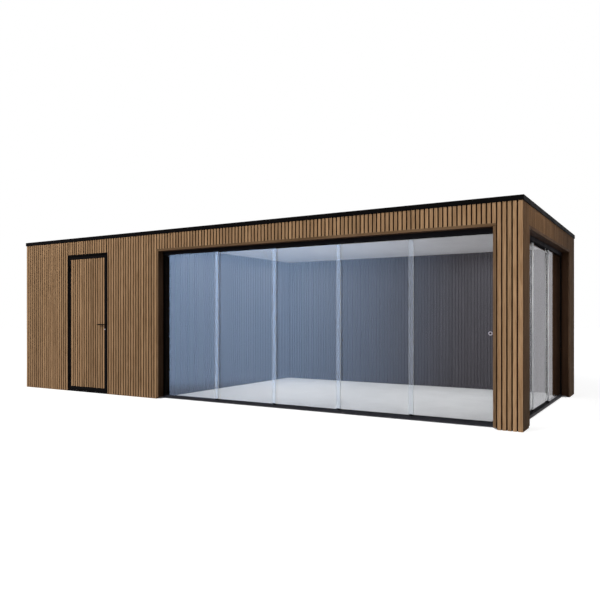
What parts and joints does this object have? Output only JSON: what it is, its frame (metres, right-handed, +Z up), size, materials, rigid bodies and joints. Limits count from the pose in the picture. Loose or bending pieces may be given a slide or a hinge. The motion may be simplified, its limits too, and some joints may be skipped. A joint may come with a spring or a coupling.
{
  "type": "garden office pod",
  "caption": "Flat-roofed garden room clad in vertical timber battens, with a batten-faced store door and frameless sliding glass walls along its front and right side.",
  "frame": {"origin": "on the ground, under the middle of the clad box", "axes": "+X to the right along the glazed front, +Y to the back, +Z up"},
  "size_m": [8.32, 3.883, 2.5],
  "materials": {
    "timber": "oiled",
    "panel_core": "matt",
    "pale_board": "matt",
    "dark_lining": "matt paint",
    "roof_rubber": "matt",
    "black_metal": "satin powder coat",
    "glass": "polished",
    "steel": "brushed"
  },
  "bodies": {
    "shell": {"floor_slab": "pale_board", "back_wall": "panel_core", "left_wall": "panel_core", "front_wall_left": "panel_core", "front_wall_right": "panel_core", "front_wall_head": "panel_core", "partition_wall": "panel_core", "front_beam": "panel_core", "side_beam": "panel_core", "front_corner_post": "panel_core", "rear_corner_post": "panel_core", "roof_deck": "panel_core", "roof_membrane": "roof_rubber", "ceiling": "pale_board", "roof_edge_trim": "black_metal", "front_cladding": "timber", "right_cladding": "timber", "back_cladding": "timber", "left_cladding": "timber", "back_lining": "dark_lining", "partition_lining": "dark_lining", "front_reveal": "timber", "side_reveal": "timber", "top_rails": "black_metal", "bottom_rails": "black_metal", "rail_jambs": "black_metal", "front_pane_1": "glass", "front_carrier_1": "black_metal", "side_pane_1": "glass", "side_carrier_1": "black_metal", "door_frame": "black_metal", "hinge_pins": "black_metal"},
    "door": {"door_leaf": "black_metal", "door_cladding": "timber", "hinge_knuckles": "black_metal", "door_roses": "black_metal", "lock_cylinder": "steel"},
    "lever": {"door_lever": "black_metal"},
    "front_slider_2": {"front_pane_2": "glass", "front_carrier_2": "black_metal"},
    "front_slider_3": {"front_pane_3": "glass", "front_carrier_3": "black_metal"},
    "front_slider_4": {"front_pane_4": "glass", "front_carrier_4": "black_metal"},
    "front_slider_5": {"front_pane_5": "glass", "front_carrier_5": "black_metal", "pane_pull": "steel"},
    "side_slider_2": {"side_pane_2": "glass", "side_carrier_2": "black_metal"},
    "side_slider_3": {"side_pane_3": "glass", "side_carrier_3": "black_metal"}
  },
  "joints": [
    {"name": "door_hinge", "type": "hinge", "parent": "shell", "child": "door", "pos_m": [-3.0415, -1.916, 1.1175], "axis": [0, 0, -1], "range_deg": [0, 100]},
    {"name": "door_lever", "type": "hinge", "parent": "door", "child": "lever", "pos_m": [-2.1815, -1.88, 1.094], "axis": [0, -1, 0], "range_deg": [0, 40], "stiffness_Nm_per_rad": 2, "springref_deg": -25.78},
    {"name": "front_slide_2", "type": "slide", "parent": "shell", "child": "front_slider_2", "axis": [-1, 0, 0], "range_m": [0, 0.9578]},
    {"name": "front_slide_3", "type": "slide", "parent": "shell", "child": "front_slider_3", "axis": [-1, 0, 0], "range_m": [0, 1.9156]},
    {"name": "front_slide_4", "type": "slide", "parent": "shell", "child": "front_slider_4", "axis": [-1, 0, 0], "range_m": [0, 2.8734]},
    {"name": "front_slide_5", "type": "slide", "parent": "shell", "child": "front_slider_5", "axis": [-1, 0, 0], "range_m": [0, 3.8312]},
    {"name": "side_slide_2", "type": "slide", "parent": "shell", "child": "side_slider_2", "axis": [0, 1, 0], "range_m": [0, 0.9533]},
    {"name": "side_slide_3", "type": "slide", "parent": "shell", "child": "side_slider_3", "axis": [0, 1, 0], "range_m": [0, 1.9066]}
  ]
}
